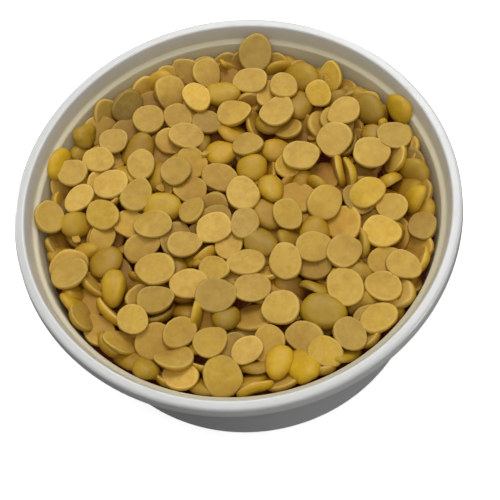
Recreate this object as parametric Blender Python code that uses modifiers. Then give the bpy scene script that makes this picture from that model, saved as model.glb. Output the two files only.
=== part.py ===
"""A shallow round plastic tub filled nearly to its ledge with dry split lentils.

The origin is the middle of the tub's foot, +Z is up, and the lentils are settled
one at a time on the filling below them, so their tops lie as uneven as poured ones.
"""

import math

import bmesh
import bpy
import numpy as np
from mathutils import Matrix, Vector

MM = 0.001

# Driving dimensions of the tub, in millimetres
RIM_RADIUS = 60.0
TUB_HEIGHT = 48.0
WALL = 0.8
BODY_TAPER = 8.5
TURN_STEPS = 54

# The rolled lip and the skirt that hangs from it
MOUTH_RADIUS = 56.9
LIP_ROUND = 1.0
SKIRT_FLARE = 0.3
LIP_INNER_ROUND = 0.6
SKIRT_DEPTH = 4.0
SKIRT_WALL = 0.9

# The stacking ledge inside, and the base
LEDGE_DEPTH = 4.3
LEDGE_WIDTH = 1.5
LEDGE_DROP = 0.4
NECK_TAPER = 1.1
BASE_ROUND = 4.0
FOOT_WIDTH = 2.0
FOOT_HEIGHT = 0.8

# The filling
GAP = 0.4
HEAP_EDGE_DEPTH = 4.2
HEAP_DISH = 1.4
HEAP_DISH_POWER = 6
CORE_DEPTH = 4.3
CORE_SHARES = (0.0, 0.25, 0.5, 0.75, 1.0)
BED_DEPTH = 10.0
STANDING_PROUD = 0.1
POUR_UNDER = 1.0
SQUEEZE = 0.93
PRESS = 0.8
TOUCH = 0.3
DRAW_IN = 0.99
HOLLOW_DEPTH = 2.7
HOLLOW_WINDOW = 7
FILL_REACH = 1.2
FILL_LIMP = 0.4
FILL_PROUD = 0.3
FILL_PRESS = 0.9
FILL_SPACING = 2.0
FILL_DEPTH = 4.6
FILL_SPREAD = 0.8
FILL_TRIES = 28
FILL_STANDING = 0.3
FILLERS = 190
WALL_CLEARANCE = 1.2
WALL_BAND = 46.0
WALL_SHARE = 0.7
WALL_PROUD = 1.0
WALL_LEAN = (28.0, 62.0)
WALL_SKEW = 18.0

# One lentil: mean size, spread and limits
LENGTH = (10.3, 0.8, 8.4, 12.2)
WIDTH_RATIO = (0.81, 0.055, 0.68, 0.93)
HALF_THICKNESS = (2.9, 0.25, 2.3, 3.4)
WHOLE_THICKNESS = (5.0, 0.3, 4.4, 5.6)
WHOLE_SHARE = 0.05
STANDING_SHARE = 0.13
FLAT_UP_SHARE = 0.72
LENTILS_POURED = 620
LENTILS_FUSED = 186
WHOLE_SHORTER = 0.85
SIDES = 8
SEED = 27

# The settling: its grid, its trial places and its small moves
CELL = 0.5
GRID_HALF = 60.0
TRIES = 7
MOVES = 11
MOVE_WAYS = 12
MOVE_REACH = 1.4
MOVE_TURN = 3.0
MOVE_EASE = 0.8
STANDING_LIMP = 0.2
LEAN_SPREAD = 30.0
STANDING_LEAN = (60.0, 86.0)
NO_ENTRY = 1000.0
TRIAL_RINGS = (9, 26)
LAID_RINGS = (24, 64)

# Lentils that lie where they catch the eye, laid by hand on top of the poured ones.
# Place across and away, length, width, turn of the long side, lean of the upper face and
# the way that it looks, rise over the heap's limit, and which face is up. Millimetres, degrees.
PLACED = [
    (14, 51, 11.2, 9.6, 60, 30, 265, 1.2, "flat"),
    (48, 20.5, 9.6, 7.2, 115, 60, 204, 1.4, "dome"),
    (-51, 8, 9.8, 8.4, 77, 29, 350, 1.5, "flat"),
    (-45, 25, 10.4, 7.4, 60, 62, 330, 1.4, "dome"),
    (-43, 21, 8.8, 8.0, 0, 4, 270, 0.6, "flat"),
    (-20, 35, 9.3, 8.9, 20, 6, 300, 0.7, "flat"),
    (2, 39, 10.2, 7.6, -12, 4, 270, 0.6, "whole"),
    (15, 36, 9.8, 7.7, 72, 12, 10, 0.7, "flat"),
    (-24, 20, 9.6, 7.7, 70, 8, 320, 0.7, "flat"),
    (20, 13, 10.7, 9.0, -12, 3, 270, 0.8, "flat"),
    (-3, 12, 11.2, 8.0, -42, 7, 260, 0.9, "flat"),
    (6, 13, 9.0, 8.4, 40, 10, 250, 0.0, "dome"),
    (39, 10, 10.4, 9.0, -20, 6, 290, 0.6, "flat"),
    (29, 8, 10.2, 7.8, 82, 78, 185, 0.5, "flat"),
    (32, 6, 9.9, 7.6, 84, 76, 182, 0.5, "flat"),
    (-20, 6, 11.4, 8.6, -12, 4, 240, 0.6, "whole"),
    (-27, -5, 10.3, 8.0, 20, 10, 290, 0.7, "flat"),
    (-36, -16, 10.6, 6.6, 80, 10, 200, 0.6, "whole"),
    (-16, -19, 11.3, 8.4, -18, 5, 270, 0.8, "flat"),
    (10, -18, 11.0, 8.6, 84, 6, 200, 0.8, "flat"),
    (18, -15, 10.2, 8.7, -5, 8, 300, 0.2, "flat"),
    (17, -34, 12.3, 10.0, -28, 4, 270, 0.6, "whole"),
    (6, -31, 10.3, 9.2, -5, 5, 270, 0.7, "flat"),
    (9, -48, 10.6, 8.4, 110, 24, 120, 0.4, "whole"),
    (-4, -51, 10.0, 7.4, 12, 66, 100, 0.5, "flat"),
    (36, -23, 10.5, 8.6, -8, 5, 250, 0.7, "flat"),
    (31, -40, 10.2, 8.2, 10, 10, 130, 0.3, "flat"),
    (-8, -30, 8.0, 7.4, 30, 14, 60, 0.9, "dome"),
]

# The faceted half: the radius of its domed side against its flat side, and the shares of
# its thickness that the band round it and the low peak on the dome take
DOME_SHARE = 0.68
BAND_SHARE = 0.84
PEAK_SHARE = 1.0 - BAND_SHARE

# A lentil's section, from the middle of its under side to the middle of its top,
# as shares of its half width and of its thickness
HALF_PROFILE = [
    (0.0, 0.04), (0.45, 0.03), (0.82, 0.0), (0.97, 0.14), (1.0, 0.3), (0.94, 0.56), (0.78, 0.8),
    (0.5, 0.95), (0.0, 1.0),
]
WHOLE_PROFILE = [
    (0.0, 0.0), (0.4, 0.04), (0.72, 0.16), (0.93, 0.33), (1.0, 0.5), (0.93, 0.67), (0.72, 0.84),
    (0.4, 0.96), (0.0, 1.0),
]


def material(name, colour, roughness):
    """A plain Principled material."""
    made = bpy.data.materials.new(name)
    made.use_nodes = True
    shader = made.node_tree.nodes["Principled BSDF"]
    shader.inputs["Base Color"].default_value = (*colour, 1.0)
    shader.inputs["Roughness"].default_value = roughness
    return made


def arc(centre, radius, start, end, points):
    """Points on an arc, from one angle to another, in degrees."""
    made = []
    for step in range(points):
        angle = math.radians(start + (end - start) * step / (points - 1))
        made.append((centre[0] + radius * math.cos(angle), centre[1] + radius * math.sin(angle)))
    return made


def inner_profile():
    """The tub's inside as radius and height, from the middle of its floor up to the mouth."""
    slope = math.tan(math.radians(BODY_TAPER))
    floor = FOOT_HEIGHT + WALL
    ledge_z = TUB_HEIGHT - LEDGE_DEPTH
    neck_foot = MOUTH_RADIUS - NECK_TAPER
    ledge_inner = neck_foot - LEDGE_WIDTH
    inner_round = BASE_ROUND - WALL
    wall_foot_z = floor + inner_round * (1 - math.sin(math.radians(BODY_TAPER)))
    wall_foot = ledge_inner - (ledge_z - LEDGE_DROP - wall_foot_z) * slope
    round_centre = (wall_foot - inner_round * math.cos(math.radians(BODY_TAPER)), floor + inner_round)
    corner = arc(round_centre, inner_round, -90, -BODY_TAPER, 4)
    mouth = (MOUTH_RADIUS, TUB_HEIGHT - LIP_INNER_ROUND)
    return [(0.0, floor)] + corner + [(ledge_inner, ledge_z - LEDGE_DROP), (neck_foot, ledge_z), mouth]


def tub_profile():
    """The whole wall's section: up the inside, over the lip and down the outside."""
    inside = inner_profile()
    lip_in_centre = (MOUTH_RADIUS + LIP_INNER_ROUND, TUB_HEIGHT - LIP_INNER_ROUND)
    lip_in = arc(lip_in_centre, LIP_INNER_ROUND, 180, 90, 3)[1:]
    lip_centre = (RIM_RADIUS - SKIRT_FLARE - LIP_ROUND, TUB_HEIGHT - LIP_ROUND)
    lip_out = arc(lip_centre, LIP_ROUND, 90, 0, 5)
    skirt_z = TUB_HEIGHT - SKIRT_DEPTH
    skirt = [(RIM_RADIUS, skirt_z), (RIM_RADIUS - SKIRT_WALL, skirt_z)]
    under = arc(lip_centre, LIP_ROUND - SKIRT_WALL, 0, 90, 3)

    neck_foot = (inside[-2][0] + WALL, inside[-2][1] - WALL)
    body_top = (inside[-3][0] + WALL, inside[-3][1] - WALL)
    round_centre = (inside[4][0] - (BASE_ROUND - WALL) * math.cos(math.radians(BODY_TAPER)), BASE_ROUND)
    corner = arc(round_centre, BASE_ROUND, -BODY_TAPER, -90, 5)
    foot = round_centre[0] - FOOT_WIDTH
    base = [(foot, 0.0), (foot - FOOT_HEIGHT, FOOT_HEIGHT), (0.0, FOOT_HEIGHT)]
    return inside + lip_in + lip_out + skirt + under + [neck_foot, body_top] + corner + base


def turned(name, profile, collection):
    """A solid of revolution from a section of radius and height, by a Screw modifier."""
    mesh = bpy.data.meshes.new(name)
    points = [(radius * MM, 0.0, height * MM) for radius, height in profile]
    edges = [(n, n + 1) for n in range(len(points) - 1)]
    mesh.from_pydata(points, edges, [])
    made = bpy.data.objects.new(name, mesh)
    collection.objects.link(made)
    screw = made.modifiers.new("turn", "SCREW")
    screw.axis = "Z"
    screw.steps = TURN_STEPS
    screw.render_steps = TURN_STEPS
    screw.use_merge_vertices = True
    screw.merge_threshold = 0.00005
    screw.use_smooth_shade = True
    return made


def heap_top(radius):
    """The height that the lentils' tops may reach, a little more by the wall than in the middle."""
    edge = inner_profile()[-3][0]
    return TUB_HEIGHT - HEAP_EDGE_DEPTH - HEAP_DISH * (1 - (radius / edge) ** HEAP_DISH_POWER)


def core_profile():
    """The fused middle of the filling, just inside the tub: its low top, then its side and foot."""
    inside = inner_profile()
    foot, ledge = inside[4], inside[5]
    edge_z = heap_top(ledge[0]) - CORE_DEPTH
    edge = foot[0] + (ledge[0] - foot[0]) * (edge_z - foot[1]) / (ledge[1] - foot[1]) - GAP
    section = []
    for share in CORE_SHARES:
        section.append((edge * share, heap_top(edge * share) - CORE_DEPTH))
    for radius, height in reversed(inside[1:5]):
        section.append((radius - GAP, height + GAP * 0.6))
    section.append((0.0, inside[0][1] + GAP))
    return section


def clipped_normal(rng, mean, spread, low, high):
    """A normal draw, held between two limits."""
    return min(max(rng.normal(mean, spread), low), high)


def lentil_points(size, whole, rings, around, squeeze=SQUEEZE):
    """Points all over one lentil's skin, about its middle, in rings from its under side up."""
    length, width, thickness = (side * squeeze for side in size)
    profile = WHOLE_PROFILE if whole else HALF_PROFILE
    along = np.linspace(0, len(profile) - 1, rings)
    reach = 0.5 * np.interp(along, range(len(profile)), [r for r, _ in profile])
    height = np.interp(along, range(len(profile)), [h for _, h in profile]) - 0.5
    angle = math.tau * np.arange(around) / around
    x = length * reach[:, None] * np.cos(angle)
    y = width * reach[:, None] * np.sin(angle)
    z = np.repeat(height[:, None] * thickness, around, axis=1)
    return np.round(np.stack([x, y, z], axis=-1).reshape(-1, 3), 6)


def turn_about(axis, angle):
    """A rotation matrix, from an axis in the plane or upright and an angle."""
    c, s = math.cos(angle), math.sin(angle)
    x, y, z = axis
    d = 1 - c
    return np.array([
        [c + x * x * d, x * y * d - z * s, x * z * d + y * s],
        [y * x * d + z * s, c + y * y * d, y * z * d - x * s],
        [z * x * d - y * s, z * y * d + x * s, c + z * z * d],
    ])


def product(a, b):
    """Matrix product by plain sums, which come out alike on every machine."""
    return (a[..., :, :, None] * b[..., None, :, :]).sum(axis=-2)


def tub_rise(radius):
    """How high the tub's inside stands at a distance from its axis, with the gap to it."""
    inside = inner_profile()
    reach = [r for r, _ in inside[3:]]
    rise = [z for _, z in inside[3:]]
    return np.interp(radius + GAP, reach, rise, left=inside[0][1], right=NO_ENTRY)


class Bed:
    """The height of what lies in the tub, on a square grid, and which lentil shows there."""

    def __init__(self):
        count = int(2 * GRID_HALF / CELL) + 1
        line = np.linspace(-GRID_HALF, GRID_HALF, count)
        radius = np.hypot(line[:, None], line[None, :])
        floor = heap_top(np.minimum(radius, MOUTH_RADIUS)) - BED_DEPTH
        self.count = count
        self.height = np.maximum(tub_rise(radius + 0.5 * CELL), floor)
        self.owner = np.full((count, count), -1)

    def cells(self, points):
        index = np.rint((points[..., :2] + GRID_HALF) / CELL).astype(int)
        index = np.clip(index, 0, self.count - 1)
        return index[..., 0], index[..., 1]

    def rest_height(self, skin, places):
        """How high each placed skin's middle must be for the skin to clear the bed."""
        lifted = skin.copy()
        lifted[..., :2] += places[:, None, :]
        column, row = self.cells(lifted)
        return (self.height[column, row] - skin[..., 2]).max(axis=1)

    def crossing(self, skin):
        """How much of a skin would show through what lies there now, outside the deep hollows."""
        column, row = self.cells(skin)
        there = self.height[column, row]
        depth = heap_top(np.hypot(skin[:, 0], skin[:, 1])) - there
        return np.where(depth < HOLLOW_DEPTH, np.maximum(skin[:, 2] - there, 0.0), 0.0).sum()

    def add(self, number, lentil):
        """Raises the bed to a laid lentil's top, and marks the cells where it shows."""
        size, whole, lie, middle = lentil
        skin = product(lentil_points(size, whole, *LAID_RINGS), lie.T)
        column, row = self.cells(skin + middle)
        cell = column * self.count + row
        top = skin[:, 2] + middle[2]
        height = self.height.reshape(-1)
        np.maximum.at(height, cell, top)
        self.owner.reshape(-1)[cell[height[cell] == top]] = number


def random_lie(rng, standing):
    """A way up and a slant for a lentil as it falls."""
    spin = turn_about((0, 0, 1), rng.uniform(0, math.tau))
    slant = math.radians(rng.uniform(*STANDING_LEAN) if standing else abs(rng.normal(0, LEAN_SPREAD)))
    way = rng.uniform(0, math.tau)
    tilt = turn_about((math.cos(way), math.sin(way), 0), slant)
    flip = turn_about((1, 0, 0), math.pi if rng.random() < FLAT_UP_SHARE else 0.0)
    return product(tilt, product(spin, flip))


def off_the_wall(skins, places):
    """Places drawn towards the middle as far as their skins need to stay inside the wall."""
    reach = np.hypot(places[:, 0], places[:, 1])[:, None]
    out = (skins[..., :2] * (places / np.maximum(reach, 1.0))[:, None, :]).sum(axis=2).max(axis=1)
    room = inner_profile()[-3][0] - 2 * GAP - CELL - out
    return places * np.minimum(1.0, room / np.maximum(reach[:, 0], 1.0))[:, None]


def wall_lie(rng, place):
    """A way up and a slant for a lentil that leans back on the wall."""
    looks = math.atan2(-place[1], -place[0]) + math.radians(rng.normal(0, WALL_SKEW))
    axis = (math.cos(looks + math.pi / 2), math.sin(looks + math.pi / 2), 0)
    spin = turn_about((0, 0, 1), rng.uniform(0, math.tau))
    flip = turn_about((1, 0, 0), math.pi if rng.random() < FLAT_UP_SHARE else 0.0)
    return product(turn_about(axis, math.radians(rng.uniform(*WALL_LEAN))), product(spin, flip))


def drop(bed, rng, points, lie, place, limp):
    """Slides and tips a lentil by small trial moves, to where its middle is lowest."""
    best = bed.rest_height(product(points, lie.T)[None], place[None])[0]
    for step in range(MOVES):
        ease = 1.0 - MOVE_EASE * step / MOVES
        shifts = rng.normal(0, MOVE_REACH * ease, (MOVE_WAYS, 2))
        turns = rng.normal(0, math.radians(MOVE_TURN) * ease * limp, MOVE_WAYS)
        ways = rng.uniform(0, math.tau, MOVE_WAYS)
        axes = [(math.cos(way), math.sin(way), 0) for way in ways]
        lies = np.array([product(turn_about(axis, turn), lie) for axis, turn in zip(axes, turns)])
        skins = product(points[None], lies.transpose(0, 2, 1))
        heights = bed.rest_height(skins, place + shifts)
        n = int(np.argmin(np.round(heights, 6)))
        if heights[n] < best - 1e-6:
            best, lie, place = heights[n], lies[n], place + shifts[n]
    return best, lie, place


def lay(bed, laid, size, whole, lie, middle):
    """Adds a lentil, drawn in from the wall where it would touch the tub."""
    skin = product(lentil_points(size, whole, *LAID_RINGS, 1.0), lie.T)
    while True:
        radius = np.hypot(skin[:, 0] + middle[0], skin[:, 1] + middle[1])
        if (tub_rise(radius) - skin[:, 2]).max() <= middle[2]:
            break
        middle = middle * (DRAW_IN, DRAW_IN, 1.0)
    laid.append((size, whole, lie, middle))
    bed.add(len(laid) - 1, laid[-1])


def random_size(rng):
    """One lentil's length, width and thickness, and whether it is whole."""
    whole = rng.random() < WHOLE_SHARE
    length = clipped_normal(rng, *LENGTH) * (WHOLE_SHORTER if whole else 1.0)
    width = length * clipped_normal(rng, *WIDTH_RATIO)
    thickness = clipped_normal(rng, *(WHOLE_THICKNESS if whole else HALF_THICKNESS))
    return (length, width, thickness), whole


def pour(rng, bed, laid):
    """Drops lentils on the lowest of a few random places. What would end too high rolls off."""
    edge = inner_profile()[-3][0]
    for _ in range(LENTILS_POURED):
        size, whole = random_size(rng)
        standing = not whole and rng.random() < STANDING_SHARE
        points = lentil_points(size, whole, *TRIAL_RINGS)
        fallen = random_lie(rng, standing)
        lowest = None
        for _ in range(TRIES):
            reach = edge * math.sqrt(rng.random())
            way = rng.uniform(0, math.tau)
            place = np.array([reach * math.cos(way), reach * math.sin(way)])
            leans = reach > WALL_BAND and rng.random() < WALL_SHARE
            lie = wall_lie(rng, place) if leans else fallen
            skins = product(points, lie.T)[None]
            place = off_the_wall(skins, place[None])[0]
            height = bed.rest_height(skins, place[None])[0]
            over = height - heap_top(reach)
            if lowest is None or over < lowest[0]:
                lowest = (over, lie, place, leans)
        leans = lowest[3]
        limp = STANDING_LIMP if standing or leans else 1.0
        height, lie, place = drop(bed, rng, points, lowest[1], lowest[2], limp)
        skin = product(lentil_points(size, whole, *LAID_RINGS), lie.T)
        more = WALL_PROUD if leans else STANDING_PROUD if standing else -POUR_UNDER
        limit = heap_top(math.hypot(place[0], place[1])) + more
        proud = height + skin[:, 2].max() - limit
        if proud > PRESS:
            continue
        lay(bed, laid, size, whole, lie, np.array([place[0], place[1], height - max(proud, 0.0)]))


def relaid(laid):
    """The bed as it is with the lentils that are left."""
    bed = Bed()
    for number, lentil in enumerate(laid):
        if lentil:
            bed.add(number, lentil)
    return bed


def place_by_hand(bed, laid):
    """Lays the placed lentils, and takes away the poured ones that would hold them up too high."""
    poured = len(laid)
    for x, y, length, width, turn, lean, looks, rise, face in PLACED:
        whole = face == "whole"
        size = (length, width, (WHOLE_THICKNESS if whole else HALF_THICKNESS)[0])
        way = math.radians(looks + 90)
        flip = turn_about((1, 0, 0), math.pi if face == "flat" else 0.0)
        spin = turn_about((0, 0, 1), math.radians(turn))
        tilt = turn_about((math.cos(way), math.sin(way), 0), math.radians(lean))
        lie = product(tilt, product(spin, flip))
        skin = product(lentil_points(size, whole, *LAID_RINGS), lie.T)
        place = np.array([[x, y]])
        middle = np.array([x, y, heap_top(math.hypot(x, y)) + rise - skin[:, 2].max()])
        while True:
            column, row = bed.cells(skin + middle)
            over = np.round(bed.height[column, row] - skin[:, 2] - middle[2], 6)
            worst = int(np.argmax(over))
            owner = bed.owner[column[worst], row[worst]]
            if over[worst] <= PRESS or not 0 <= owner < poured:
                break
            laid[owner] = None
            bed = relaid(laid)
        middle[2] = min(middle[2], bed.rest_height(skin[None], place)[0] - TOUCH)
        lay(bed, laid, size, whole, lie, middle)
    return bed


def hollow_depths(bed, radius, inside):
    """How deep the heap lies under its limit, on the average round each cell."""
    half = HOLLOW_WINDOW // 2
    depth = np.where(inside, heap_top(radius) - bed.height, 0.0)
    total = np.zeros_like(depth)
    count = np.zeros_like(depth)
    for column in range(-half, half + 1):
        for row in range(-half, half + 1):
            total += np.roll(depth, (column, row), axis=(0, 1))
            count += np.roll(inside, (column, row), axis=(0, 1))
    return np.where(inside, np.round(total / np.maximum(count, 1), 6), 0.0)


def fill_hollows(rng, bed, laid):
    """Lets lentils drop into the hollows, and where none fits tucks one in under the others."""
    line = np.linspace(-GRID_HALF, GRID_HALF, bed.count)
    radius = np.hypot(line[:, None], line[None, :])
    inside = radius < inner_profile()[-3][0] - WALL_CLEARANCE
    for _ in range(FILLERS):
        mean = hollow_depths(bed, radius, inside)
        column, row = np.unravel_index(int(np.argmax(mean)), mean.shape)
        if mean[column, row] < HOLLOW_DEPTH:
            break
        size, whole = random_size(rng)
        points = lentil_points(size, whole, *TRIAL_RINGS)
        centre = np.array([line[column], line[row]])
        limit = heap_top(radius[column, row])
        leans = (radius[column, row] > WALL_BAND) & (rng.random(FILL_TRIES) < WALL_SHARE)
        lies = [wall_lie(rng, centre) if lean else random_lie(rng, rng.random() < FILL_STANDING) for lean in leans]
        places = centre + rng.normal(0, FILL_REACH, (FILL_TRIES, 2))
        skins = product(points[None], np.array(lies).transpose(0, 2, 1))
        places = off_the_wall(skins, places)
        heights = bed.rest_height(skins, places)
        n = int(np.argmin(np.round(heights + skins[..., 2].max(axis=1), 6)))
        height, lie, place = drop(bed, rng, points, lies[n], places[n], FILL_LIMP)
        more = WALL_PROUD if leans[n] else FILL_PROUD
        proud = height + product(points, lie.T)[:, 2].max() - heap_top(math.hypot(place[0], place[1])) - more
        if proud <= FILL_PRESS:
            lay(bed, laid, size, whole, lie, np.array([place[0], place[1], height - max(proud, 0.0)]))
            continue
        inside &= np.hypot(line[:, None] - centre[0], line[None, :] - centre[1]) > FILL_SPACING
        if mean[column, row] > FILL_DEPTH:
            middle = np.array([centre[0], centre[1], limit - FILL_DEPTH - FILL_SPREAD * rng.random()])
            crossing = [round(bed.crossing(skin + middle), 6) for skin in skins]
            n = int(np.argmin(crossing))
            middle[2] = min(middle[2], limit - skins[n][:, 2].max())
            lay(bed, laid, size, whole, lies[n], middle)


def settle():
    """All the lentils, each as its size, kind, lie and middle or None, and the bed that they make."""
    rng = np.random.default_rng(SEED)
    bed = Bed()
    laid = []
    pour(rng, bed, laid)
    bed = place_by_hand(bed, laid)
    fill_hollows(rng, bed, laid)
    return laid, bed


def lentil_mesh(name, size, whole):
    """A faceted lentil: a split half is a poked cone frustum, a whole one a coarse ball."""
    length, width, thickness = size
    shape = bmesh.new()
    if whole:
        bmesh.ops.create_uvsphere(shape, u_segments=SIDES, v_segments=4, radius=0.5)
    else:
        bmesh.ops.create_cone(
            shape, cap_ends=True, segments=SIDES, radius1=0.5, radius2=0.5 * DOME_SHARE, depth=BAND_SHARE
        )
        bmesh.ops.translate(shape, verts=shape.verts, vec=(0, 0, -0.5 * PEAK_SHARE))
        top = max(shape.faces, key=lambda face: face.calc_center_median().z)
        bmesh.ops.poke(shape, faces=[top], offset=PEAK_SHARE)
    bmesh.ops.scale(shape, vec=(length * MM, width * MM, thickness * MM), verts=shape.verts)
    mesh = bpy.data.meshes.new(name)
    shape.to_mesh(mesh)
    shape.free()
    return mesh


def visible_first(laid, bed):
    """The lentils that show most from above, in the order of how much shows."""
    shown = np.bincount(bed.owner[bed.owner >= 0], minlength=len(laid))
    order = sorted(range(len(laid)), key=lambda n: (-shown[n], n))
    return [n for n in order if shown[n] > 0][:LENTILS_FUSED]


def keep_outer_shell(mesh):
    """Removes loose scraps and the walls of sealed hollows, which leaves one closed body."""
    shape = bmesh.new()
    shape.from_mesh(mesh)
    bmesh.ops.triangulate(shape, faces=shape.faces)
    unseen = set(shape.verts)
    shells = []
    while unseen:
        grow = [unseen.pop()]
        shell = set(grow)
        while grow:
            for edge in grow.pop().link_edges:
                for vert in edge.verts:
                    if vert in unseen:
                        unseen.discard(vert)
                        shell.add(vert)
                        grow.append(vert)
        shells.append(shell)
    largest = max(shells, key=len)
    bmesh.ops.delete(shape, geom=[v for v in shape.verts if v not in largest], context="VERTS")
    shape.to_mesh(mesh)
    shape.free()


def lentil_heap(collection, finish):
    """The core with the lentils that show fused on."""
    laid, bed = settle()
    heap = turned("lentils", core_profile(), collection)
    loose = bpy.data.collections.new("loose lentils")
    bpy.context.scene.collection.children.link(loose)
    for n in visible_first(laid, bed):
        size, whole, lie, middle = laid[n]
        piece = bpy.data.objects.new(f"lentil_{n}", lentil_mesh(f"lentil_{n}", size, whole))
        piece.matrix_world = Matrix.Translation(Vector(middle) * MM) @ Matrix(lie.tolist()).to_4x4()
        loose.objects.link(piece)

    union = heap.modifiers.new("fuse", "BOOLEAN")
    union.operation = "UNION"
    union.operand_type = "COLLECTION"
    union.collection = loose
    union.solver = "EXACT"
    bpy.context.view_layer.update()
    fused = bpy.data.meshes.new_from_object(heap.evaluated_get(bpy.context.evaluated_depsgraph_get()))
    heap.modifiers.clear()
    heap.data = fused
    for piece in list(loose.objects):
        bpy.data.objects.remove(piece)
    bpy.data.collections.remove(loose)
    keep_outer_shell(fused)
    fused.materials.clear()
    fused.materials.append(finish)
    fused.shade_flat()
    return heap


def main():
    for old in list(bpy.data.objects):
        bpy.data.objects.remove(old)
    parts = bpy.data.collections.new("dish of dry split lentils")
    bpy.context.scene.collection.children.link(parts)

    tub = turned("tub", tub_profile(), parts)
    tub.data.materials.append(material("white plastic", (0.70, 0.71, 0.71), 0.38))
    lentil_heap(parts, material("split lentils", (0.56, 0.38, 0.10), 0.55))


main()
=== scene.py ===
"""The looks of a shallow round plastic tub filled with dry split lentils.

The lentils settle by the same rule as the solid heap that the frame holds, one at a time on
what lies below them, and then each is laid as a modelled lentil with its own shape and tint.
Lengths are in millimetres, but in metres in meshes, materials, lamps and the floor.
"""

import math

import bmesh
import bpy
import numpy as np
from mathutils import Matrix, Vector


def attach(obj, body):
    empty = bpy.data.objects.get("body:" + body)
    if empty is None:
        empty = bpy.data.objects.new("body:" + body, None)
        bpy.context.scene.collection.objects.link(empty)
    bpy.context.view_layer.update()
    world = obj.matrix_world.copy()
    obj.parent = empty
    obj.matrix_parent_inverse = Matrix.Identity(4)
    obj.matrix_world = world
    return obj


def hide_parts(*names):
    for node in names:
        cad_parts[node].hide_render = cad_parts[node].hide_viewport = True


MM = 0.001

# The tub's section
RIM_RADIUS = 60.0
TUB_HEIGHT = 48.0
WALL = 0.8
BODY_TAPER = 8.5
MOUTH_RADIUS = 56.9
LIP_ROUND = 1.0
SKIRT_FLARE = 0.3
LIP_INNER_ROUND = 0.6
SKIRT_DEPTH = 4.0
SKIRT_WALL = 0.9
LEDGE_DEPTH = 4.3
LEDGE_WIDTH = 1.5
LEDGE_DROP = 0.4
NECK_TAPER = 1.1
BASE_ROUND = 4.0
FOOT_WIDTH = 2.0
FOOT_HEIGHT = 0.8
TUB_STEPS = 160
EDGE_SOFTNESS = 0.45
SOFT_POINTS = 4

# The filling
GAP = 0.4
HEAP_EDGE_DEPTH = 4.2
HEAP_DISH = 1.4
HEAP_DISH_POWER = 6
BED_DEPTH = 10.0
STANDING_PROUD = 0.1
POUR_UNDER = 1.0
SQUEEZE = 0.93
PRESS = 0.8
TOUCH = 0.3
DRAW_IN = 0.99
HOLLOW_DEPTH = 2.7
HOLLOW_WINDOW = 7
FILL_REACH = 1.2
FILL_LIMP = 0.4
FILL_PROUD = 0.3
FILL_PRESS = 0.9
FILL_SPACING = 2.0
FILL_DEPTH = 4.6
FILL_SPREAD = 0.8
FILL_TRIES = 28
FILL_STANDING = 0.3
FILLERS = 190
WALL_CLEARANCE = 1.2
WALL_BAND = 46.0
WALL_SHARE = 0.7
WALL_PROUD = 1.0
WALL_LEAN = (28.0, 62.0)
WALL_SKEW = 18.0

# One lentil: mean size, spread and limits
LENGTH = (10.3, 0.8, 8.4, 12.2)
WIDTH_RATIO = (0.81, 0.055, 0.68, 0.93)
HALF_THICKNESS = (2.9, 0.25, 2.3, 3.4)
WHOLE_THICKNESS = (5.0, 0.3, 4.4, 5.6)
WHOLE_SHARE = 0.05
STANDING_SHARE = 0.13
FLAT_UP_SHARE = 0.72
LENTILS_POURED = 620
WHOLE_SHORTER = 0.85
SEED = 27

# The settling: its grid, its trial places and its small moves
CELL = 0.5
GRID_HALF = 60.0
TRIES = 7
MOVES = 11
MOVE_WAYS = 12
MOVE_REACH = 1.4
MOVE_TURN = 3.0
MOVE_EASE = 0.8
STANDING_LIMP = 0.2
LEAN_SPREAD = 30.0
STANDING_LEAN = (60.0, 86.0)
NO_ENTRY = 1000.0
TRIAL_RINGS = (9, 26)
LAID_RINGS = (24, 64)

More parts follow.
